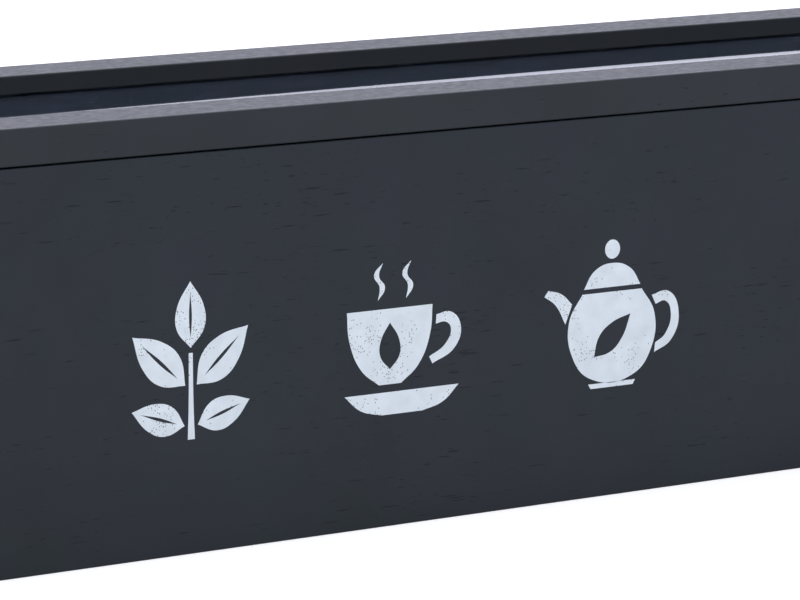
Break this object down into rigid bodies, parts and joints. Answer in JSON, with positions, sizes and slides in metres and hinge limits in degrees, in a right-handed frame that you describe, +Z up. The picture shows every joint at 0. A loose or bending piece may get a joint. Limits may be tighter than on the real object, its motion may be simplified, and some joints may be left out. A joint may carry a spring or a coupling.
{
  "type": "tea bag organizer box",
  "caption": "Long painted wooden box with a hinged, glazed frame lid and a single row of compartments for tea bags.",
  "frame": {"origin": "centre of the footprint, on the surface that the box stands on", "axes": "+X along the row of compartments, to the right as seen from the front; +Y towards the hinges at the rear; +Z up"},
  "size_m": [0.43, 0.0896, 0.0872],
  "materials": {
    "painted_wood": "satin anthracite paint over open-grained wood",
    "painted_board": "satin anthracite paint over thin board",
    "window_glass": "clear polished float glass",
    "hinge_metal": "nickel-plated steel sheet, lightly brushed",
    "screw_steel": "nickel-plated screws",
    "nail_steel": "plain steel",
    "printed_white": "thin screen-printed white ink"
  },
  "bodies": {
    "box": {"front_panel": "painted_wood", "back_panel": "painted_wood", "left_end_panel": "painted_wood", "right_end_panel": "painted_wood", "bottom_panel": "painted_board", "divider_1": "painted_board", "divider_2": "painted_board", "divider_3": "painted_board", "divider_4": "painted_board", "divider_5": "painted_board", "left_hinge_box_leaf": "hinge_metal", "left_hinge_pin": "hinge_metal", "right_hinge_box_leaf": "hinge_metal", "right_hinge_pin": "hinge_metal", "hinge_box_screws": "screw_steel", "corner_brads": "nail_steel"},
    "lid": {"lid_front_rail": "painted_wood", "lid_rear_rail": "painted_wood", "lid_left_rail": "painted_wood", "lid_right_rail": "painted_wood", "window_pane": "window_glass", "left_hinge_lid_leaf": "hinge_metal", "right_hinge_lid_leaf": "hinge_metal", "hinge_lid_screws": "screw_steel", "lid_v_nails": "nail_steel", "glazing_points": "nail_steel"}
  },
  "joints": [
    {"name": "lid_hinge", "type": "hinge", "parent": "box", "child": "lid", "pos_m": [0, 0.0418, 0.07965], "axis": [-1, 0, 0], "range_deg": [0, 100]}
  ]
}
